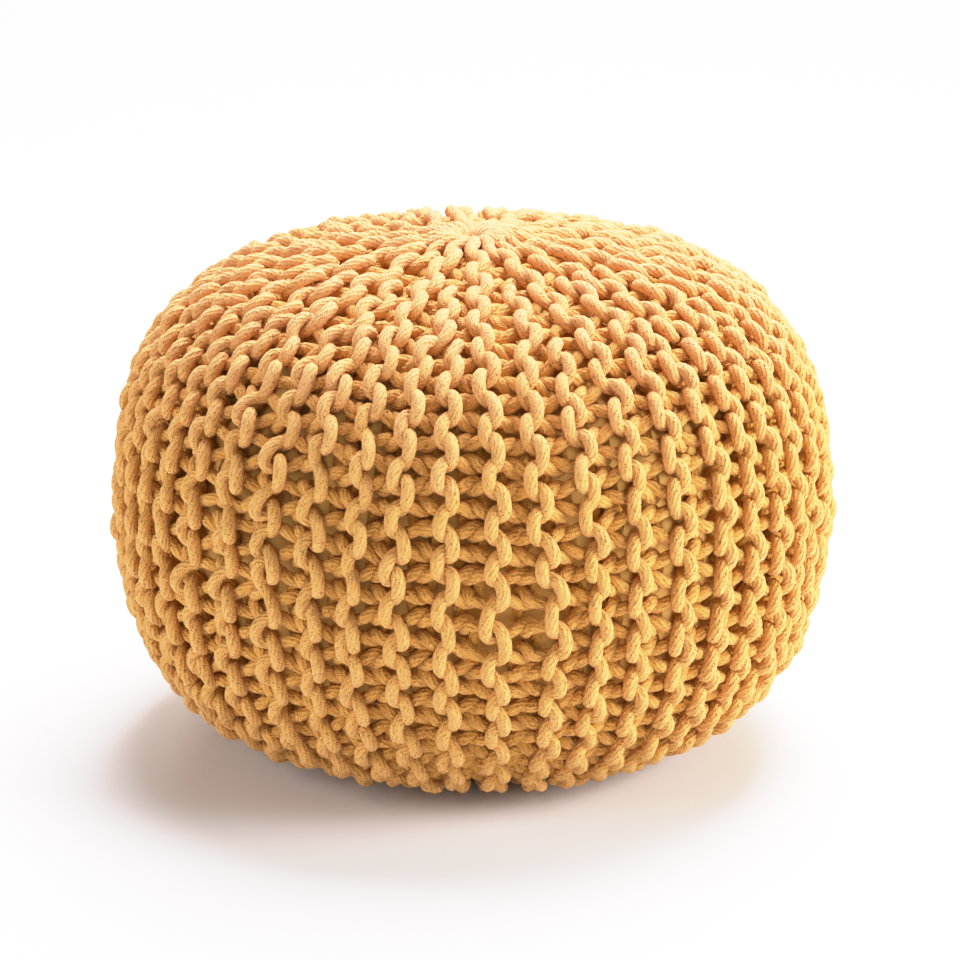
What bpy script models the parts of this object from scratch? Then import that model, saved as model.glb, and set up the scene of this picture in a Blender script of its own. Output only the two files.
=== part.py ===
"""Round knitted pouf.

A thick cord cover, knitted sideways in garter stitch so that its ribs run from pole to pole,
is stretched over a round inner casing filled with beads. The cover is one piece of fabric,
drawn in at the top and at the bottom. Its ribs lie in 16 wedges of three: one rib of each
wedge reaches the pole, and the other two stop short of it, where short rows turn.

Metres, +Z up. The origin is the middle of the resting face, on the surface the pouf stands on.
"""

import math

import bmesh
import bpy
import numpy as np

# Overall form
DIAMETER = 0.500
HEIGHT = 0.350
WIDEST_HEIGHT = 0.170
CROWN_SQUARENESS = 2.48
CROWN_FULLNESS = 4.15
BASE_SQUARENESS = 2.29
BASE_FULLNESS = 4.63
BASE_FLATTENING = 0.003

# Cover: cord about 10 mm thick, worked into ribs
RIB_DEPTH = 0.026
VALLEY_DEPTH = 0.0135
POLE_DEPTH = 0.014
DEPTH_UNEVENNESS = 0.0012
UNEVEN_TURNS = 19
CREST_SHARE = 0.60
WEDGES = 16
RIBS_PER_WEDGE = 3
LINES_PER_RIB = 3

# Open stitches: one gap in each valley at each of the belt's stitches
GAP_ROWS = 6
STITCH_PITCH = 0.0262
GAP_HEIGHT = 0.0108

# Rings between a pole and the belt, and how wide the wedge's second and third ribs are there
SIDE_RINGS = (
    {"way": 0.24, "second": 0.0, "third": 0.0},
    {"way": 0.40, "second": 0.8, "third": 0.0},
    {"way": 0.53, "second": 1.0, "third": 0.7},
    {"way": 0.65, "second": 1.0, "third": 1.0},
    {"way": 0.77, "second": 1.0, "third": 1.0},
    {"way": 0.885, "second": 1.0, "third": 1.0},
)
RIB_SWAY = 0.07
SWAY_STEP = 1.9

# Clearance between the casing and the cover, at the flat base, where it is least
CASING_CLEARANCE = 0.0004

RIBS = WEDGES * RIBS_PER_WEDGE
WALL_RADIUS = DIAMETER / 2 - RIB_DEPTH
WALL_TOP = HEIGHT - RIB_DEPTH
WALL_BASE = RIB_DEPTH
PROFILE_STEPS = 600
MERGE_DISTANCE = 1e-6


def wall_profile():
    """Radius and height of the cover's inner wall from the top pole to the bottom one.

    Each half is a superellipse about the widest height. The lower half is cut flat at the base.
    """
    share = np.linspace(0.0, 1.0, PROFILE_STEPS) ** 0.5
    crown = WALL_RADIUS * (1.0 - share**CROWN_SQUARENESS) ** (1.0 / CROWN_FULLNESS)
    crown_height = WIDEST_HEIGHT + (WALL_TOP - WIDEST_HEIGHT) * share
    base = WALL_RADIUS * (1.0 - share**BASE_SQUARENESS) ** (1.0 / BASE_FULLNESS)
    drop = WIDEST_HEIGHT - WALL_BASE + BASE_FLATTENING
    base_height = np.maximum(WIDEST_HEIGHT - drop * share, WALL_BASE)
    radius = np.concatenate([crown[::-1], base[1:]])
    height = np.concatenate([crown_height[::-1], base_height[1:]])
    return radius, height


def ring_table():
    """Radius, height and rib widths of every ring of points, from the top pole to the bottom."""
    radius, height = wall_profile()
    steps = np.hypot(np.diff(radius), np.diff(height))
    arc = np.concatenate([[0.0], np.cumsum(steps)])
    widest = arc[PROFILE_STEPS - 1]
    belt_length = (GAP_ROWS - 1) * STITCH_PITCH + GAP_HEIGHT
    belt_start = widest - belt_length / 2
    belt_end = widest + belt_length / 2

    rings = [{"arc": 0.0, "second": 0.0, "third": 0.0}]
    for row in SIDE_RINGS:
        rings.append({"arc": belt_start * row["way"], "second": row["second"], "third": row["third"]})
    for stitch in range(GAP_ROWS):
        start = belt_start + stitch * STITCH_PITCH
        rings.append({"arc": start, "second": 1.0, "third": 1.0})
        rings.append({"arc": start + GAP_HEIGHT, "second": 1.0, "third": 1.0})
    below = arc[-1] - belt_end
    for row in reversed(SIDE_RINGS):
        rings.append({"arc": arc[-1] - below * row["way"], "second": row["second"], "third": row["third"]})
    rings.append({"arc": arc[-1], "second": 0.0, "third": 0.0})

    for ring in rings:
        ring["radius"] = float(np.interp(ring["arc"], arc, radius))
        ring["height"] = float(np.interp(ring["arc"], arc, height))
    return rings


def valley_angle(ring, ring_number, valley):
    """Angle of a valley, counted on past one turn.

    A wedge's ribs share its width as the ring says, and the middle of its first rib keeps to one
    meridian all the way to the pole. The valleys between the ribs of a wedge sway a little.
    """
    wedge, rib = divmod(valley, RIBS_PER_WEDGE)
    widths = (1.0, ring["second"], ring["third"])
    sway = RIB_SWAY * math.sin(SWAY_STEP * ring_number + valley) * min(widths) if rib else 0.0
    first_middle = 0.5 / RIBS_PER_WEDGE
    share = first_middle + (sum(widths[:rib]) - 0.5 + sway) / sum(widths)
    return 2 * math.pi * (wedge + share) / WEDGES


def lay_on_wall(bm, rings, lines_per_rib, scale):
    """Move a sphere's points on to the wall, and mark each point's ring and the crest lines.

    The first line of a rib is the valley before it, and the others are the edges of its crest.
    A rib that ends here has no width, so all its lines lie in the valley and merge there.
    """
    ring_layer = bm.verts.layers.int.new("ring")
    crest_layer = bm.verts.layers.int.new("crest")
    lines = RIBS * lines_per_rib
    crest_edges = (0.0, (1 - CREST_SHARE) / 2, (1 + CREST_SHARE) / 2)
    for vert in bm.verts:
        polar = math.acos(max(-1.0, min(1.0, vert.co.z)))
        number = round(polar / math.pi * (len(rings) - 1))
        line = round(math.atan2(vert.co.y, vert.co.x) / (2 * math.pi) * lines) % lines
        rib, place = divmod(line, lines_per_rib)
        ring = rings[number]
        start = valley_angle(ring, number, rib)
        end = valley_angle(ring, number, rib + 1)
        angle = start + (end - start) * crest_edges[place]
        reach = ring["radius"] * scale
        vert.co.x = reach * math.cos(angle)
        vert.co.y = reach * math.sin(angle)
        vert.co.z = WIDEST_HEIGHT + (ring["height"] - WIDEST_HEIGHT) * scale
        vert[ring_layer] = number
        vert[crest_layer] = place > 0 and end - start > MERGE_DISTANCE and reach > MERGE_DISTANCE
    bmesh.ops.remove_doubles(bm, verts=bm.verts[:], dist=MERGE_DISTANCE)
    bmesh.ops.recalc_face_normals(bm, faces=bm.faces[:])
    return ring_layer, crest_layer


def cover_depth(point, ring, ring_number, on_crest):
    """Thickness of the cover at a point: full on a crest, thin in a valley and at the poles."""
    if ring["radius"] < MERGE_DISTANCE:
        return POLE_DEPTH
    if not on_crest:
        return VALLEY_DEPTH
    if ring["height"] < WALL_BASE + MERGE_DISTANCE:
        return RIB_DEPTH
    angle = math.atan2(point.y, point.x)
    return RIB_DEPTH + DEPTH_UNEVENNESS * math.sin(UNEVEN_TURNS * angle + ring_number)


def make_cover(collection, material, rings):
    """The knitted cover: a wall with gaps, thickened outwards into ribs."""
    bm = bmesh.new()
    segments = RIBS * LINES_PER_RIB
    bmesh.ops.create_uvsphere(bm, u_segments=segments, v_segments=len(rings) - 1, radius=1.0)
    ring_layer, crest_layer = lay_on_wall(bm, rings, LINES_PER_RIB, 1.0)

    belt_first = len(SIDE_RINGS) + 1
    belt_last = belt_first + 2 * GAP_ROWS - 1
    gap_rings = range(belt_first, belt_last, 2)
    gaps = []
    for face in bm.faces:
        in_gap_row = min(vert[ring_layer] for vert in face.verts) in gap_rings
        by_valley = not all(vert[crest_layer] for vert in face.verts)
        if in_gap_row and by_valley:
            gaps.append(face)
    bmesh.ops.delete(bm, geom=gaps, context="FACES")

    full_depth = RIB_DEPTH + DEPTH_UNEVENNESS
    weights = []
    for vert in bm.verts:
        number = vert[ring_layer]
        depth = cover_depth(vert.co, rings[number], number, vert[crest_layer])
        weights.append(depth / full_depth)
    mesh = bpy.data.meshes.new("knit_wall")
    bm.to_mesh(mesh)
    bm.free()

    wall = bpy.data.objects.new("knit_wall", mesh)
    collection.objects.link(wall)
    group = wall.vertex_groups.new(name="depth")
    for index, weight in enumerate(weights):
        group.add([index], weight, "REPLACE")
    thicken = wall.modifiers.new("Ribs", "SOLIDIFY")
    thicken.thickness = full_depth
    thicken.offset = 1.0
    thicken.vertex_group = group.name
    thicken.use_rim = True

    depsgraph = bpy.context.evaluated_depsgraph_get()
    thick = bpy.data.meshes.new_from_object(wall.evaluated_get(depsgraph))
    bpy.data.objects.remove(wall)
    plain_inside(thick, belt_first, belt_last)
    thick.name = "knit_cover"
    thick.materials.append(material)
    cover = bpy.data.objects.new("knit_cover", thick)
    collection.objects.link(cover)
    return cover


def faces_inwards(face):
    """True on the inner wall, whose faces look at the middle of the pouf."""
    outward = face.calc_center_median()
    outward.z -= WIDEST_HEIGHT
    return face.normal.dot(outward.normalized()) < -0.5


def plain_inside(mesh, belt_first, belt_last):
    """Take the crest lines out of the inner wall above and below the belt, where nothing shows."""
    bm = bmesh.new()
    bm.from_mesh(mesh)
    ring_layer = bm.verts.layers.int["ring"]
    crest_layer = bm.verts.layers.int["crest"]
    spare = []
    for edge in bm.edges:
        above, below = sorted(vert[ring_layer] for vert in edge.verts)
        beyond_belt = below <= belt_first or above >= belt_last
        on_crest = any(vert[crest_layer] for vert in edge.verts)
        if beyond_belt and above != below and on_crest and all(map(faces_inwards, edge.link_faces)):
            spare.append(edge)
    bmesh.ops.dissolve_edges(bm, edges=spare, use_verts=True)
    inner = [face for face in bm.faces if faces_inwards(face)]
    bmesh.ops.triangulate(bm, faces=inner, quad_method="SHORT_EDGE")
    bm.to_mesh(mesh)
    bm.free()


def make_casing(collection, material, rings):
    """The filled inner casing: the wall's own shape, drawn in by the clearance."""
    bm = bmesh.new()
    bmesh.ops.create_uvsphere(bm, u_segments=RIBS, v_segments=len(rings) - 1, radius=1.0)
    lay_on_wall(bm, rings, 1, 1.0 - CASING_CLEARANCE / (WIDEST_HEIGHT - WALL_BASE))
    bmesh.ops.triangulate(bm, faces=bm.faces[:], quad_method="SHORT_EDGE")
    mesh = bpy.data.meshes.new("inner_casing")
    bm.to_mesh(mesh)
    bm.free()
    mesh.materials.append(material)
    casing = bpy.data.objects.new("inner_casing", mesh)
    collection.objects.link(casing)
    return casing


def make_material(name, colour, roughness):
    """A plain Principled surface."""
    material = bpy.data.materials.new(name)
    material.use_nodes = True
    surface = material.node_tree.nodes["Principled BSDF"]
    surface.inputs["Base Color"].default_value = (*colour, 1.0)
    surface.inputs["Roughness"].default_value = roughness
    surface.inputs["Metallic"].default_value = 0.0
    return material


def main():
    for item in list(bpy.data.objects):
        bpy.data.objects.remove(item)
    collection = bpy.data.collections.new("round_pouf")
    bpy.context.scene.collection.children.link(collection)

    rings = ring_table()
    knit = make_material("knit_cotton", (0.80, 0.46, 0.14), 0.92)
    cloth = make_material("casing_cloth", (0.70, 0.43, 0.13), 0.95)
    for piece in (make_cover(collection, knit, rings), make_casing(collection, cloth, rings)):
        piece.data.shade_smooth()
        piece.data.set_sharp_from_angle(angle=math.radians(55))


main()
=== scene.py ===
"""Round knitted pouf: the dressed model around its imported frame, with floor, lights and camera."""

import math

import bmesh
import bpy
import numpy as np
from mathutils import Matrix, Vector


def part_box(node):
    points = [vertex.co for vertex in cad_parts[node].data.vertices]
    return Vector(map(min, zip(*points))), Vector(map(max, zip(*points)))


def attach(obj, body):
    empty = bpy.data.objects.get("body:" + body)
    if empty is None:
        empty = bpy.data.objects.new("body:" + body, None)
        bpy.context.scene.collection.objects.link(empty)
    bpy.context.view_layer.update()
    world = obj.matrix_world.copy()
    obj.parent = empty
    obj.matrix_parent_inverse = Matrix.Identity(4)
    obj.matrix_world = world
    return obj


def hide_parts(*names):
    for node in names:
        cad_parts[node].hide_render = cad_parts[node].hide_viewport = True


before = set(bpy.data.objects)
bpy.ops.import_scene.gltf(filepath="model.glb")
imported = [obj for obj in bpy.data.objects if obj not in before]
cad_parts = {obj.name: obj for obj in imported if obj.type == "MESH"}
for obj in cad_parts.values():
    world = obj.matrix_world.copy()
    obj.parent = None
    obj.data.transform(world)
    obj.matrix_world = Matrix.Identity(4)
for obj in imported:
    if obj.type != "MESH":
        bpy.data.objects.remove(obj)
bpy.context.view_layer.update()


# Inner casing
# A round bag of plain woven ochre cotton, filled with beads until it is tight. It carries the
# cover and shows through the open stitches, where its cloth swells out a little between the
# cords that press on it.
casing_low, casing_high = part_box("inner_casing")
CASING_RADIUS = casing_high.x
CASING_TOP = casing_high.z
CASING_BASE = casing_low.z
WIDEST_HEIGHT = 0.170
CROWN_SQUARENESS, CROWN_FULLNESS = 2.48, 4.15
BASE_SQUARENESS, BASE_FULLNESS = 2.29, 4.63
BASE_FLATTENING = 0.003
PROFILE_STEPS = 900
RIBS = 48
WEDGES = 16
RIBS_A_WEDGE = 3
WEDGE_SHIFT = 1 / 6
COURSES_A_WEDGE = 2 * RIBS_A_WEDGE
COURSES = 2 * RIBS
CREST_DEPTH = 0.0218
CROWN_RISE, CROWN_WAY = 0.010, 0.14
SECOND_RIB_WAYS = (0.080, 0.132)
THIRD_RIB_WAYS = (0.146, 0.205)
# Waves: size, turns round the pouf, slant down it, and start. Patches: course line and way of
# the middle, and how far they reach each way.
DRIFT_WAVES = ((0.22, 3, 9, 1.1), (0.11, 8, -15, 0.0), (0.08, 17, 24, 2.0))
SLIP_WAVES = ((0.0030, 5, 0, 2.5), (0.0024, 13, 11, 3.7))
DRIFT_WAYS = (0.05, 0.15)
LOOSE_MIDDLE, LOOSE_REACH = (61.5, 0.29), (3.5, 0.10)
LOOSE_SPREAD = 0.85
HOLE_MIDDLE, HOLE_REACH = (73.6, 0.364), (1.6, 0.022)
HOLE_SPREAD, HOLE_STRETCH = 0.65, 0.0080
CASING_COLUMNS, CASING_ROWS = 240, 76
CASING_SWELL, CASING_POLE_SWELL, CASING_HOLE_SWELL = 0.0012, 0.0012, 0.0042
CASING_SWELL_WAYS = (0.05, 0.12)
CASING_INSET = 0.0008


def casing_profile():
    """Radius, height and outward normal of the casing from the top pole to the bottom one.

    Each half is a superellipse about the widest height, and the lower half is cut flat.
    """
    share = np.linspace(0.0, 1.0, PROFILE_STEPS) ** 0.5
    crown = CASING_RADIUS * (1 - share**CROWN_SQUARENESS) ** (1 / CROWN_FULLNESS)
    crown_height = WIDEST_HEIGHT + (CASING_TOP - WIDEST_HEIGHT) * share
    base = CASING_RADIUS * (1 - share**BASE_SQUARENESS) ** (1 / BASE_FULLNESS)
    drop = WIDEST_HEIGHT - CASING_BASE + BASE_FLATTENING
    base_height = np.maximum(WIDEST_HEIGHT - drop * share, CASING_BASE)
    radius = np.concatenate([crown[::-1], base[1:]])
    height = np.concatenate([crown_height[::-1], base_height[1:]])
    run, rise = np.gradient(radius), np.gradient(height)
    length = np.hypot(run, rise)
    return radius, height, -rise / length, run / length


profile_radius, profile_height, normal_out, normal_up = casing_profile()
crest_radius = profile_radius + CREST_DEPTH * normal_out
crest_height = profile_height + CREST_DEPTH * normal_up
crest_steps = np.hypot(np.diff(crest_radius), np.diff(crest_height))
profile_way = np.concatenate([[0.0], np.cumsum(crest_steps)])
WAY_LENGTH = float(profile_way[-1])


def at_way(way):
    """Radius, height and normal of the casing at ways, which are lengths from the top pole
    down a rib's crest."""
    return [
        np.interp(way, profile_way, values)
        for values in (profile_radius, profile_height, normal_out, normal_up)
    ]


def smooth_step(low, high, value):
    """0 up to low, 1 from high on, and a smooth rise between them."""
    share = np.clip((value - low) / (high - low), 0.0, 1.0)
    return share * share * (3 - 2 * share)


def rib_widths(way):
    """Widths of a wedge's second and third ribs, against its first: short rows end them near
    the poles."""
    from_pole = np.minimum(way, WAY_LENGTH - way)
    return smooth_step(*SECOND_RIB_WAYS, from_pole), smooth_step(*THIRD_RIB_WAYS, from_pole)


def waves(table, turn, way):
    """A sum of sine waves, each of a size, a number of turns round the pouf, a slant down it and
    a start."""
    return sum(size * np.sin(turns * turn + slant * way + start) for size, turns, slant, start in table)


def about(middle, reach, course, way):
    """Distances across and down from the middle of a patch, in its reaches, and a bell that is 1
    in the middle and dies away."""
    across, down = (course - middle[0]) / reach[0], (way - middle[1]) / reach[1]
    return across, down, np.exp(-(across**2 + down**2) / 2)


def hand_drift(course, way):
    """How far hand knitting strays: courses sideways, and metres along. Each is a sum of slow
    sine waves that fades out at the poles. A few ribs at the left of the front are pulled apart
    sideways, and the stitches round one hole at the front both ways: there the shift is the
    distance from the middle times the bell."""
    turn = 2 * math.pi * course / COURSES
    sideways, along = waves(DRIFT_WAVES, turn, way), waves(SLIP_WAVES, turn, way)
    across, down, bell = about(LOOSE_MIDDLE, LOOSE_REACH, course, way)
    sideways = sideways + LOOSE_SPREAD * across * bell
    across, down, bell = about(HOLE_MIDDLE, HOLE_REACH, course, way)
    sideways, along = sideways + HOLE_SPREAD * across * bell, along + HOLE_STRETCH * down * bell
    fade = smooth_step(*DRIFT_WAYS, np.minimum(way, WAY_LENGTH - way))
    return sideways * fade, along * fade


def course_angle(course, way):
    """Angle round the pouf of a line between courses, where even lines are valleys and odd
    lines are crests. A wedge of six courses shares its width among its three ribs, and its ribs
    that stop short lie after the one that reaches the pole."""
    second, third = rib_widths(way)
    wedge = np.floor(course / COURSES_A_WEDGE)
    rib = (course - COURSES_A_WEDGE * wedge) / 2
    across = np.clip(rib, 0, 1) + np.clip(rib - 1, 0, 1) * second + np.clip(rib - 2, 0, 1) * third
    turn = wedge + WEDGE_SHIFT + (across - 0.5) / (1 + second + third)
    return 2 * math.pi * turn / WEDGES


def on_pouf(course, way, depth):
    """Points at depth outside the casing, and the casing's normal there. Towards the top pole
    the depth grows, because the knitting is gathered there and stands higher."""
    sideways, along = hand_drift(course, way)
    way = way + along
    radius, height, out, up = at_way(way)
    angle = course_angle(course + sideways, way)
    depth = depth + CROWN_RISE * (1 - smooth_step(0.0, CROWN_WAY, way))
    reach = radius + depth * out
    points = np.stack([reach * np.cos(angle), reach * np.sin(angle), height + depth * up], -1)
    normals = np.stack([out * np.cos(angle), out * np.sin(angle), up], -1)
    return points, normals


def grid_faces(rows, columns, rows_close):
    """Corner numbers of the faces of a grid whose columns close into rings."""
    row = np.arange(rows if rows_close else rows - 1)[:, None]
    column = np.arange(columns)[None, :]
    right = (column + 1) % columns
    below = (row + 1) % rows
    corners = [(row, column), (row, right), (below, right), (below, column)]
    numbers = [corner_row * columns + corner_column for corner_row, corner_column in corners]
    return np.stack(np.broadcast_arrays(*numbers), -1).reshape(-1, 4)


def add_piece(name, points, faces, corner_uv=None, crest=None):
    """A smooth mesh object from arrays of points and four-cornered faces, with a place along and
    round the cord at each corner, and at each point how far it stands out."""
    mesh = bpy.data.meshes.new(name)
    mesh.vertices.add(len(points))
    mesh.vertices.foreach_set("co", points.astype(np.float32).ravel())
    mesh.loops.add(faces.size)
    mesh.loops.foreach_set("vertex_index", faces.astype(np.int32).ravel())
    mesh.polygons.add(len(faces))
    mesh.polygons.foreach_set("loop_start", np.arange(0, faces.size, 4, dtype=np.int32))
    if corner_uv is not None:
        layer = mesh.uv_layers.new(name="along")
        layer.uv.foreach_set("vector", corner_uv.astype(np.float32).ravel())
    if crest is not None:
        stands_out = mesh.attributes.new("crest", "FLOAT", "POINT")
        stands_out.data.foreach_set("value", crest.astype(np.float32))
    mesh.update(calc_edges=True)
    mesh.validate()
    mesh.shade_smooth()
    piece = bpy.data.objects.new(name, mesh)
    bpy.context.scene.collection.objects.link(piece)
    return piece


def casing_surface():
    """The casing as rings down the profile. It swells between the valleys by a sine across each
    rib, more behind the hole at the front, and as much all round at the poles, where a small
    ring leaves each end open."""
    way = WAY_LENGTH * (np.arange(CASING_ROWS) + 0.5) / CASING_ROWS
    course = COURSES * np.arange(CASING_COLUMNS) / CASING_COLUMNS
    course, way = np.meshgrid(course, way)
    across = np.abs(np.sin(math.pi * course / 2))
    at_side = smooth_step(*CASING_SWELL_WAYS, np.minimum(way, WAY_LENGTH - way))
    at_hole = about(HOLE_MIDDLE, HOLE_REACH, course, way)[2]
    swell = (CASING_SWELL + CASING_HOLE_SWELL * at_hole) * across * at_side
    swell = swell + CASING_POLE_SWELL * (1 - at_side)
    return on_pouf(course, way, swell - CASING_INSET)[0].reshape(-1, 3)


casing_points = casing_surface()
casing_faces = grid_faces(CASING_ROWS, CASING_COLUMNS, False)
casing = add_piece("casing_bag", casing_points, casing_faces)
bm = bmesh.new()
bm.from_mesh(casing.data)
rims = [edge for edge in bm.edges if edge.is_boundary]
bmesh.ops.holes_fill(bm, edges=rims, sides=0)
bmesh.ops.recalc_face_normals(bm, faces=bm.faces[:])
bm.to_mesh(casing.data)
bm.free()
casing.data.shade_smooth()


class Wire:
    """A shader socket that can be added, multiplied and so on. Each sum adds a Math node."""

    def __init__(self, socket):
        self.socket = socket

    def math(self, operation, first, second):
        tree = self.socket.id_data
        return add_node(tree, "ShaderNodeMath", {"operation": operation}, {0: first, 1: second})

    def __add__(self, other):
        return self.math("ADD", self, other)

    def __radd__(self, other):
        return self.math("ADD", other, self)

    def __sub__(self, other):
        return self.math("SUBTRACT", self, other)

    def __rsub__(self, other):
        return self.math("SUBTRACT", other, self)

    def __mul__(self, other):
        return self.math("MULTIPLY", self, other)

    def __rmul__(self, other):
        return self.math("MULTIPLY", other, self)


def add_node(tree, kind, settings, inputs, output=0):
    """Adds a node: its settings first, then the values or wires of its sockets."""
    node = tree.nodes.new(kind)
    for name, value in settings.items():
        setattr(node, name, value)
    for name, value in inputs.items():
        if isinstance(value, Wire):
            tree.links.new(value.socket, node.inputs[name])
        else:
            node.inputs[name].default_value = value
    return Wire(node.outputs[output])


def blend_colours(tree, share, first, second):
    """A colour between two others."""
    return add_node(tree, "ShaderNodeMix", {"data_type": "RGBA"}, {0: share, 6: first, 7: second}, 2)


def new_finish(name):
    """An empty material with its Principled surface."""
    material = bpy.data.materials.new(name)
    material.use_nodes = True
    tree = material.node_tree
    return material, tree, tree.nodes["Principled BSDF"]


def add_noise(tree, place, scale, detail):
    """Noise between 0 and 1, with so many grains to a metre."""
    inputs = {"Vector": place, "Scale": scale, "Detail": detail}
    return add_node(tree, "ShaderNodeTexNoise", {}, inputs)


def add_sine(tree, turns):
    """The sine of a number of turns."""
    return add_node(tree, "ShaderNodeMath", {"operation": "SINE"}, {0: turns * (2 * math.pi)})


def split(tree, vector):
    """The three numbers of a vector."""
    node = add_node(tree, "ShaderNodeSeparateXYZ", {}, {"Vector": vector}).socket.node
    return [Wire(output) for output in node.outputs]


def dress(tree, surface, colour, relief, strength, distance):
    """Wires a colour and a relief, as a bump of a strength and a depth in metres, to a surface."""
    inputs = {"Strength": strength, "Distance": distance, "Height": relief}
    bump = add_node(tree, "ShaderNodeBump", {}, inputs)
    tree.links.new(colour.socket, surface.inputs["Base Color"])
    tree.links.new(bump.socket, surface.inputs["Normal"])


def set_surface(surface, values):
    """Sets what is the same all over a surface."""
    for name, value in values.items():
        surface.inputs[name].default_value = value


CASING_OCHRE = (0.86, 0.52, 0.15, 1)
CASING_OCHRE_DEEP = (0.76, 0.43, 0.10, 1)
WEAVE_PITCH = 0.0009
# Noises: grains to a metre, and detail
CASING_DYE, CASING_SLUB = (28.0, 4.0), (900.0, 2.0)
DYE_SHARE, SLUB_SHARE = 0.7, 0.3
WEFT_RELIEF, SLUB_RELIEF = 0.3, 0.7
CASING_BUMP = (0.35, 0.0004)
CASING_SURFACE = {"Roughness": 0.95, "Specular IOR Level": 0.2}


def casing_finish():
    """Plain weave: weft threads as a sine down the height, with slubs and a slightly uneven dye."""
    material, tree, surface = new_finish("casing_cloth")
    place = add_node(tree, "ShaderNodeTexCoord", {}, {}, "Object")
    dye, slub = add_noise(tree, place, *CASING_DYE), add_noise(tree, place, *CASING_SLUB)
    weft = add_sine(tree, split(tree, place)[2] * (1 / WEAVE_PITCH))
    share = dye * DYE_SHARE + slub * SLUB_SHARE
    colour = blend_colours(tree, share, CASING_OCHRE, CASING_OCHRE_DEEP)
    dress(tree, surface, colour, weft * WEFT_RELIEF + slub * SLUB_RELIEF, *CASING_BUMP)
    set_surface(surface, CASING_SURFACE)
    return material


casing.data.materials.append(casing_finish())
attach(casing, "root")
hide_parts("inner_casing")


# Knitted cover
# Soft cotton cord about 9 mm thick, knitted in garter stitch from pole to pole. Two courses,
# worked out and back, make one rib. On its crest the heads of the first and the bights of the
# second stand out, and both sink in the valleys. Sixteen ribs are drawn together at each pole.
CORD_RADIUS = 0.0043
STITCHES = 20
TOP_STITCHES = (1.27, 1.22, 1.14, 1.06)
BASE_STITCHES = (1.02, 1.04, 1.07, 1.10, 1.12)
SPOKE_LENGTH = 0.030
MIDDLE_DEPTH = 0.0130
ARC_RISE = 0.0086
CREST_OVERLAP = 0.0041
VALLEY_OVERLAP = 0.0058
LOOSE_OVERLAP, HOLE_OPENING = 0.4, 0.8
CREST_FLATNESS, VALLEY_FLATNESS = 0.2, 0.45
# How far single loops stray across, along and outwards, in metres
STRAY = np.array((0.0012, 0.0023, 0.0010))
LOOSE_STRAY = 1.2
INWARD_LIMIT, STRAY_LIMIT = 0.42, 0.08
FLAT_WAYS = (0.08, 0.24)
SHORT_ROW_START = (0, 2, 4)
LEAST_REACH, LEAST_WIDTH = 0.004, 0.0001
CORD_SIDES = 8
CURVE_PARTS = 5
RING_STEP = 0.0058
RING_TURN = math.radians(40)
KNIT_SEED = 11
ROWS_A_PIECE = 8

knit_random = np.random.default_rng(KNIT_SEED)
stitch_weights = np.ones(STITCHES)
stitch_weights[: len(TOP_STITCHES)] = TOP_STITCHES
stitch_weights[-len(BASE_STITCHES) :] = BASE_STITCHES
stitch_ways = np.concatenate([[0.0], np.cumsum(stitch_weights)]) / stitch_weights.sum()
stitch_ways = SPOKE_LENGTH + (WAY_LENGTH - 2 * SPOKE_LENGTH) * stitch_ways

# Half loops, from the top of a loop, beyond the course's line, to its foot in the course: place
# across in overlaps, along in stitches, depth in rises, and thickness. On a crest the upper half
# hooks over the loop above it, and the lower half sinks straight behind the loop below.
CREST_UPPER_HALF = np.array(
    (
        (-1.10, 0.000, 1.02, 1.07),
        (-0.84, 0.165, 0.94, 1.06),
        (-0.36, 0.275, 0.70, 1.00),
        (0.42, 0.325, 0.30, 0.97),
        (1.45, 0.290, -0.02, 0.99),
    )
)
CREST_LOWER_HALF = np.array(
    (
        (-1.10, 0.000, 1.02, 1.07),
        (-1.06, 0.165, 0.91, 1.05),
        (-0.70, 0.280, 0.62, 0.98),
        (0.10, 0.340, 0.24, 0.97),
        (1.45, 0.300, -0.02, 0.99),
    )
)
VALLEY_HALF = np.array(
    (
        (-1.30, 0.000, 1.00, 0.96),
        (-1.14, 0.190, 0.97, 0.96),
        (-0.60, 0.340, 0.74, 0.97),
        (0.15, 0.350, 0.32, 0.99),
        (1.25, 0.235, -0.08, 1.00),
    )
)
# A stitch is four half loops: down to the left foot, up and down over the right line, and up to
# the next loop of the left line
HALF_LOOPS = (5, 5, 4, 4)
LOOPS = (5, 9, 4)
ON_RIGHT = np.repeat((False, True, False), LOOPS)
LOOP_PLACE = np.repeat((0.0, 0.5, 1.0), LOOPS)
DOWNWARD = np.repeat((1, -1, 1, -1), HALF_LOOPS)


def course_width(rib_in_wedge, way):
    """Width in metres of one course of a rib, at the crest."""
    second, third = rib_widths(way)
    own = (np.ones_like(second), second, third)[rib_in_wedge]
    radius, _, out, _ = at_way(way)
    reach = np.maximum(radius + CREST_DEPTH * out, LEAST_REACH)
    width = reach * 2 * math.pi / WEDGES / (1 + second + third) * own / 2
    return np.maximum(width, LEAST_WIDTH)


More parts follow.
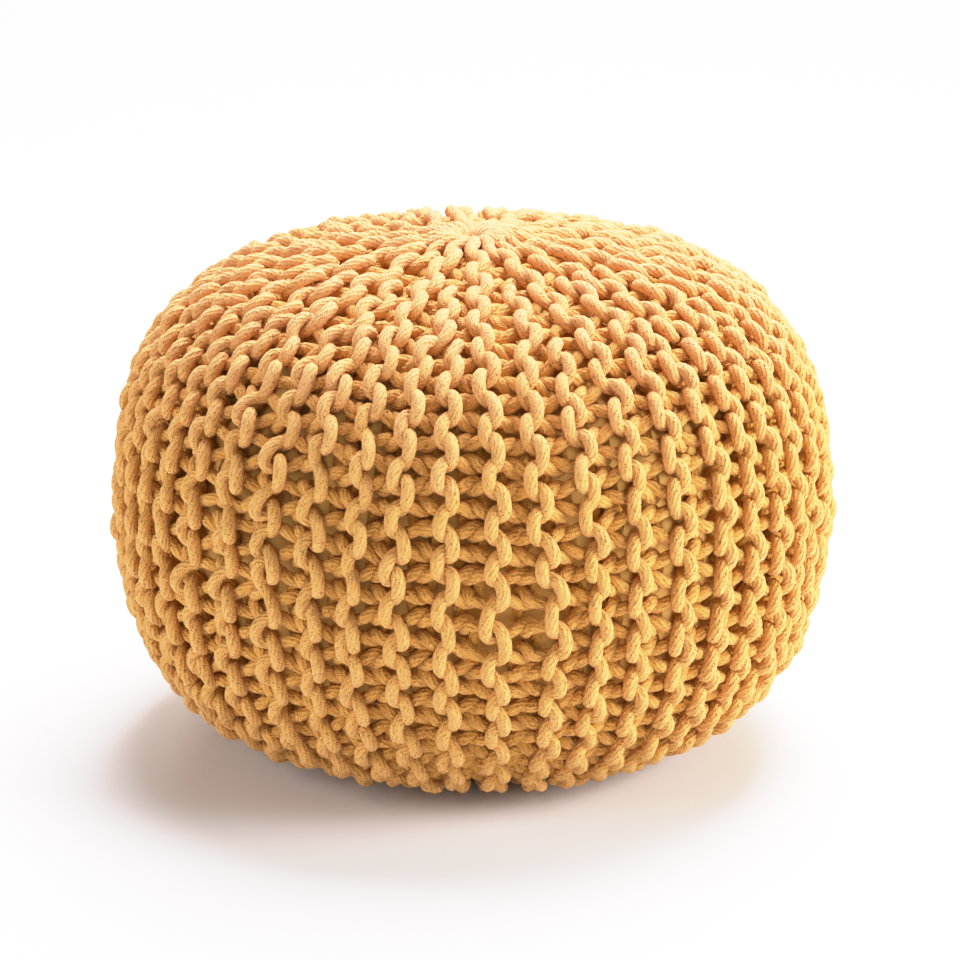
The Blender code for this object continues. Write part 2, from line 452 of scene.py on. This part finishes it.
def course_points(rib, first_line, crest_on_right):
    """Guide points of one course from its first stitch to its last: an array of course line,
    way, depth and thickness. A stitch runs from its bight on the left line to its head on the
    right line and back to the next bight, and every loop strays a little from its place."""
    crest, valley = (CREST_UPPER_HALF, CREST_LOWER_HALF), (VALLEY_HALF, VALLEY_HALF)
    left, right = (valley, crest) if crest_on_right else (crest, valley)
    stitch = np.vstack([left[1], right[0][::-1], right[1][1:], left[0][:0:-1]])
    across, along, rise, thick = stitch.T
    on_crest = ON_RIGHT == crest_on_right
    start = SHORT_ROW_START[rib % RIBS_A_WEDGE]
    numbers = np.arange(start, STITCHES - start)[:, None]
    way = np.interp(numbers + LOOP_PLACE + DOWNWARD * along, np.arange(STITCHES + 1), stitch_ways)
    width = course_width(rib % RIBS_A_WEDGE, way)
    loose = about(LOOSE_MIDDLE, LOOSE_REACH, first_line + 0.5, way)[2]
    hole = about(HOLE_MIDDLE, HOLE_REACH, first_line + 0.5, way)[2] * ~ON_RIGHT
    on_crest_overlap = CREST_OVERLAP * (1 + LOOSE_OVERLAP * loose)
    overlap = np.where(on_crest, on_crest_overlap, VALLEY_OVERLAP * (1 - HOLE_OPENING * hole))
    inward = np.clip(across * overlap / width, -INWARD_LIMIT, INWARD_LIMIT)
    bights = knit_random.normal(0, 1, (len(numbers) + 1, 3)) * STRAY
    heads = knit_random.normal(0, 1, (len(numbers), 3)) * STRAY
    stray = np.stack([bights[:-1], heads, bights[1:]], 1)
    stray = np.repeat(stray, LOOPS, 1) * (np.abs(rise) * (1 + LOOSE_STRAY * loose))[..., None]
    aside = np.clip(stray[..., 0] / width, -STRAY_LIMIT, STRAY_LIMIT)
    line = first_line + np.where(ON_RIGHT, 1 - inward, inward) + aside
    at_pole = 1 - smooth_step(*FLAT_WAYS, np.minimum(way, WAY_LENGTH - way))
    lift = np.where(on_crest, 1 - CREST_FLATNESS * at_pole, VALLEY_FLATNESS * at_pole - 1)
    depth = MIDDLE_DEPTH + lift * ARC_RISE * rise + stray[..., 2]
    guides = np.stack(np.broadcast_arrays(line, way + stray[..., 1], depth, thick), -1)
    last = guides[-1, 0].copy()
    last[1] = stitch_ways[STITCHES - start]
    return np.vstack([guides.reshape(-1, 4), last])


def end_points(rib, at_top):
    """Guide points that join a rib's two courses at one end, from its crest to its valley: course
    line, way, depth and thickness. A rib that reaches the pole runs in to it on top and comes
    back underneath."""
    crest, valley = 2 * rib + 1, 2 * rib
    start = stitch_ways[SHORT_ROW_START[rib % RIBS_A_WEDGE]]
    step = stitch_ways[1] - stitch_ways[0]
    spoke = (
        (crest, 0.0240, 0.0220, 1.05),
        (crest, 0.0180, 0.0218, 1.00),
        (crest, 0.0125, 0.0205, 0.86),
        (crest - 0.2, 0.0085, 0.0180, 0.68),
        (crest - 0.9, 0.0075, 0.0125, 0.58),
        (crest - 1.1, 0.0115, 0.0080, 0.62),
        (valley + 0.3, 0.0190, 0.0055, 0.80),
        (valley, 0.0260, 0.0045, 0.95),
    )
    short_end = (
        (crest - 0.10, start - 0.16 * step, 0.0195, 1.0),
        (crest - 0.45, start - 0.24 * step, 0.0150, 1.0),
        (valley + 0.20, start - 0.18 * step, 0.0085, 1.0),
    )
    points = np.array(spoke if rib % RIBS_A_WEDGE == 0 else short_end)
    if not at_top:
        points[:, 1] = WAY_LENGTH - points[:, 1]
        points = points[::-1]
    return points


def smooth_loop(guides, parts):
    """A closed Catmull-Rom curve through the guide points, with so many parts between two."""
    before, after = np.roll(guides, 1, 0), np.roll(guides, -1, 0)
    beyond = np.roll(guides, -2, 0)
    share = (np.arange(parts) / parts)[None, :, None]
    a, b, c, d = (points[:, None, :] for points in (before, guides, after, beyond))
    square, cube = 2 * a - 5 * b + 4 * c - d, 3 * b - a - 3 * c + d
    curve = 0.5 * (2 * b + (c - a) * share + square * share**2 + cube * share**3)
    return curve.reshape(-1, guides.shape[1])


def rib_tube(rib):
    """One rib's cord: a closed loop of rings along the smooth curve, closer together on bends.
    Its points, faces, place along and round the cord, how far it stands out, and its length."""
    down = course_points(rib, 2 * rib, True)
    back = course_points(rib, 2 * rib + 1, False)[::-1]
    guides = np.vstack([down, end_points(rib, False), back, end_points(rib, True)])
    curve = smooth_loop(guides, CURVE_PARTS)
    centre, normal = on_pouf(curve[:, 0], curve[:, 1], curve[:, 2])
    step = np.roll(centre, -1, 0) - centre
    length = np.linalg.norm(step, axis=1)
    heading = step / length[:, None]
    turn = np.arccos(np.clip((heading * np.roll(heading, 1, 0)).sum(1), -1, 1))
    need = np.concatenate([[0], np.cumsum(length / RING_STEP + np.roll(turn, -1) / RING_TURN)])
    rings = int(round(need[-1]))
    wanted = np.arange(rings) * need[-1] / rings
    route = np.column_stack([centre, normal, curve[:, 2:]])
    route = np.vstack([route, route[:1]])
    route = np.stack([np.interp(wanted, need, column) for column in route.T], -1)
    centre, normal, depth, thick = route[:, :3], route[:, 3:6], route[:, 6], route[:, 7]
    along = np.interp(wanted, need, np.concatenate([[0], np.cumsum(length)]))
    radius = CORD_RADIUS * thick
    centre[:, 2] = np.maximum(centre[:, 2], radius)
    tangent = np.roll(centre, -1, 0) - np.roll(centre, 1, 0)
    tangent /= np.linalg.norm(tangent, axis=1)[:, None]
    side = np.cross(tangent, normal)
    side /= np.linalg.norm(side, axis=1)[:, None]
    lift = np.cross(side, tangent)
    around = 2 * math.pi * np.arange(CORD_SIDES) / CORD_SIDES
    cosine, sine = np.cos(around)[None, :, None], np.sin(around)[None, :, None]
    points = centre[:, None] + radius[:, None, None] * (cosine * side[:, None] + sine * lift[:, None])
    row = np.arange(rings)[:, None] + np.zeros((1, CORD_SIDES), int)
    column = np.arange(CORD_SIDES)[None, :] + np.zeros((rings, 1), int)
    along = np.append(along, length.sum())
    u = [along[row + down_one] for down_one in (0, 0, 1, 1)]
    v = [(column + one_on) / CORD_SIDES for one_on in (0, 1, 1, 0)]
    corner_uv = np.stack([np.stack(u, -1), np.stack(v, -1)], -1).reshape(-1, 2)
    # How far the cord stands out, from the valleys to the crests; the knit material paints shade on the
    # low parts with it
    stands_out = np.clip((depth - MIDDLE_DEPTH + ARC_RISE) / (2 * ARC_RISE), 0, 1)
    crest = np.repeat(stands_out, CORD_SIDES)
    faces = grid_faces(rings, CORD_SIDES, True)
    return points.reshape(-1, 3), faces, corner_uv, crest, length.sum()


KNIT_PALE = (0.93, 0.505, 0.172, 1)
KNIT_MUSTARD = (0.84, 0.430, 0.086, 1)
# Painted highlight: the paler, creamier colour the cord takes towards the top, where the light from
# above falls strongest
KNIT_TOP_HIGHLIGHT = (0.97, 0.51, 0.30, 1)
# Painted shade: the darker, deeper orange of the cord where it sinks into the valleys
KNIT_VALLEY_SHADE = (0.79, 0.39, 0.058, 1)
# Painted shade: the colour of the creases between plies and threads
KNIT_CREASE_SHADE = (0.42, 0.165, 0.008, 1)
KNIT_FLECK = (0.20, 0.085, 0.025, 1)
PLIES = 8
TWIST_LENGTH = 0.050
THREADS = 14
THREADS_A_METRE = 700
PLY_WANDER, THREAD_WANDER = 0.13, 2.2
# Noises: grains to a metre, and detail
KNIT_WANDER, KNIT_DYE, KNIT_FIBRE = (260.0, 2.0), (45.0, 3.0), (1300.0, 3.0)
KNIT_SPECK, KNIT_PATCH = (560.0, 1.0), (430.0, 1.0)
# Where each mask starts and where it is full
FLECK_RANGE, PATCH_RANGE = (0.645, 0.71), (0.49, 0.62)
PLY_CREASE_RANGE, THREAD_CREASE_RANGE = (-0.45, -0.95), (-0.4, -0.95)
# Heights over which the painted highlight of the top grows from none to full
TOP_HIGHLIGHT_HEIGHTS = (0.24, 0.345)
THREAD_CREASE_SHARE, FLECK_SHARE = 0.45, 0.6
# How much painted shade darkens the creases, and how much more on the crests
CREASE_SHARE, CREST_CREASE_SHARE = 0.4, 0.35
PLY_RELIEF, THREAD_RELIEF, FIBRE_RELIEF, CREASE_RELIEF = 0.45, 0.2, 0.9, 0.4
KNIT_BUMP = (0.8, 0.0009)
KNIT_SURFACE = {
    "Roughness": 0.9,
    "Specular IOR Level": 0.2,
    "Sheen Weight": 0.22,
    "Sheen Roughness": 0.5,
    "Sheen Tint": (1.0, 0.85, 0.62, 1),
}


def add_range(tree, value, start, full):
    """A mask: 0 until the value reaches start, 1 from full on, and a straight line between. Full
    may be the lower of the two."""
    inputs = {"Value": value, "From Min": start, "From Max": full}
    return add_node(tree, "ShaderNodeMapRange", {}, inputs)


def knit_finish():
    """Soft twisted cotton: plies that run round the cord, each of fine threads that run the
    other way, with loose fibres, dark flecks, and painted shade that darkens the creases between
    them here and there. Painted shade makes the cord darker and a deeper orange where it sinks into
    the valleys, and a painted highlight makes the crests paler and creamier towards the top."""
    material, tree, surface = new_finish("knit_cotton")
    flat = add_node(tree, "ShaderNodeUVMap", {"uv_map": "along"}, {})
    along, around, _ = split(tree, flat)
    place = add_node(tree, "ShaderNodeTexCoord", {}, {}, "Object")
    wander = add_noise(tree, place, *KNIT_WANDER)
    ply = add_sine(tree, (around + along * (1 / TWIST_LENGTH) + wander * PLY_WANDER) * PLIES)
    thread = add_sine(tree, around * THREADS - along * THREADS_A_METRE + wander * THREAD_WANDER)
    dye, fibre = add_noise(tree, place, *KNIT_DYE), add_noise(tree, place, *KNIT_FIBRE)
    fleck = add_range(tree, add_noise(tree, place, *KNIT_SPECK), *FLECK_RANGE)
    open_here = add_range(tree, add_noise(tree, place, *KNIT_PATCH), *PATCH_RANGE)
    ply_crease = add_range(tree, ply, *PLY_CREASE_RANGE)
    thread_crease = add_range(tree, thread, *THREAD_CREASE_RANGE)
    crease = ply_crease * open_here + thread_crease * (1 - open_here) * THREAD_CREASE_SHARE
    crest = add_node(tree, "ShaderNodeAttribute", {"attribute_name": "crest"}, {}, "Fac")
    # Painted highlight: the cord's colour grows paler towards the top, as if lit more strongly there
    top_highlight_share = add_range(tree, split(tree, place)[2], *TOP_HIGHLIGHT_HEIGHTS)
    pale = blend_colours(tree, top_highlight_share, KNIT_PALE, KNIT_TOP_HIGHLIGHT)
    # Random dye and fibre tones, which carry the painted highlight of the top with them
    dye_and_top_highlight = blend_colours(tree, dye * 0.5 + fibre * 0.5, pale, KNIT_MUSTARD)
    # Painted shade: the cord takes the valley shade colour as it sinks from the crests into the valleys
    tone = blend_colours(tree, crest, KNIT_VALLEY_SHADE, dye_and_top_highlight)
    # Painted shade in the creases between plies and threads, stronger on the crests
    darkened = crease * (CREASE_SHARE + crest * CREST_CREASE_SHARE)
    shaded = blend_colours(tree, darkened, tone, KNIT_CREASE_SHADE)
    colour = blend_colours(tree, fleck * FLECK_SHARE, shaded, KNIT_FLECK)
    relief = ply * PLY_RELIEF + thread * THREAD_RELIEF + fibre * FIBRE_RELIEF - crease * CREASE_RELIEF
    dress(tree, surface, colour, relief, *KNIT_BUMP)
    set_surface(surface, KNIT_SURFACE)
    return material


knit_material = knit_finish()
cord_total = 0.0
for first in range(0, RIBS, ROWS_A_PIECE):
    tubes = [rib_tube(rib) for rib in range(first, first + ROWS_A_PIECE)]
    counts = np.cumsum([0] + [len(tube[0]) for tube in tubes])
    points = np.vstack([tube[0] for tube in tubes])
    faces = np.vstack([tube[1] + count for tube, count in zip(tubes, counts)])
    uv = np.vstack([tube[2] for tube in tubes])
    crest = np.concatenate([tube[3] for tube in tubes])
    cord_total += sum(tube[4] for tube in tubes)
    rows = add_piece(f"knit_ribs_{first + 1}_{first + ROWS_A_PIECE}", points, faces, uv, crest)
    rows.data.materials.append(knit_material)
    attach(rows, "root")
    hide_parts("knit_cover")
print("cord in metres", round(cord_total, 1))


# Floor, light and camera
# A plain pale floor under soft studio light. The camera stands about three metres away and looks
# a little down, as in the photograph.
FLOOR_SIZE = 12.0
FLOOR_SURFACE = {"Base Color": (0.9, 0.9, 0.9, 1), "Roughness": 0.9}
bpy.ops.mesh.primitive_plane_add(size=FLOOR_SIZE)
floor = bpy.context.object
floor.name = "studio_floor"
floor_material, _, floor_surface = new_finish("studio_floor")
set_surface(floor_surface, FLOOR_SURFACE)
floor.data.materials.append(floor_material)


# Soft square lights: name, place, the point looked at, size, watts and colour
LIGHTS = (
    ("top_light", (0.30, 0.75, 2.1), (0, 0, 0.2), 1.4, 124.0, (0.98, 0.90, 1.02)),
    ("right_light", (2.6, -0.8, 1.2), (0, 0, 0.2), 1.4, 116.0, (1.0, 0.97, 0.99)),
    ("left_light", (-2.5, -1.2, 1.2), (0, 0, 0.2), 1.8, 46.0, (1.0, 0.97, 0.99)),
    ("front_light", (0.5, -3.6, 0.9), (0, 0, 0.15), 1.8, 13.0, (1.0, 0.98, 0.98)),
    ("back_light", (0.0, 5.5, 3.2), (0, 6.0, 0.0), 4.0, 460.0, (1.0, 1.0, 1.0)),
)
for name, place, aim, size, power, colour in LIGHTS:
    light = bpy.data.lights.new(name, "AREA")
    light.size = size
    light.energy = power
    light.color = colour
    lamp = bpy.data.objects.new(name, light)
    bpy.context.scene.collection.objects.link(lamp)
    lamp.location = place
    lamp.rotation_euler = (Vector(aim) - Vector(place)).to_track_quat("-Z", "Y").to_euler()

WORLD_STRENGTH = 0.10
world = bpy.data.worlds.new("studio")
bpy.context.scene.world = world
world.use_nodes = True
background = world.node_tree.nodes["Background"]
background.inputs["Color"].default_value = (1, 1, 1, 1)
background.inputs["Strength"].default_value = WORLD_STRENGTH

FRAME_WIDTH = 960
SENSOR_WIDTH = 36.0
CAMERA_DISTANCE = 3.0
AIM_HEIGHT = 0.175
CAMERA_ELEVATION = math.radians(18.0)
FOCAL_PIXELS = 4323
AIM_PIXEL = (472.5, 486.0)
camera_data = bpy.data.cameras.new("camera")
camera_data.sensor_width = SENSOR_WIDTH
camera_data.lens = FOCAL_PIXELS * SENSOR_WIDTH / FRAME_WIDTH
camera_data.shift_x = (FRAME_WIDTH / 2 - AIM_PIXEL[0]) / FRAME_WIDTH
camera_data.shift_y = (AIM_PIXEL[1] - FRAME_WIDTH / 2) / FRAME_WIDTH
camera = bpy.data.objects.new("camera", camera_data)
bpy.context.scene.collection.objects.link(camera)
camera.location = (
    0.0,
    -CAMERA_DISTANCE * math.cos(CAMERA_ELEVATION),
    AIM_HEIGHT + CAMERA_DISTANCE * math.sin(CAMERA_ELEVATION),
)
camera.rotation_euler = (math.pi / 2 - CAMERA_ELEVATION, 0.0, 0.0)
bpy.context.scene.camera = camera

# Like film, the picture keeps mid tones as they are and rolls highlights off, each colour alone
WHITE_LEVEL = 3.0
FILM_CURVE = ((0.3, 0.3), (0.6, 0.6), (0.9, 0.83), (1.3, 0.93), (1.8, 0.985), (2.2, 1.0))
view = bpy.context.scene.view_settings
view.view_transform = "Standard"
view.use_curve_mapping = True
view.curve_mapping.white_level = (WHITE_LEVEL, WHITE_LEVEL, WHITE_LEVEL)
film = view.curve_mapping.curves[3]
for scene_level, picture_level in FILM_CURVE:
    film.points.new(scene_level / WHITE_LEVEL, picture_level)
view.curve_mapping.update()
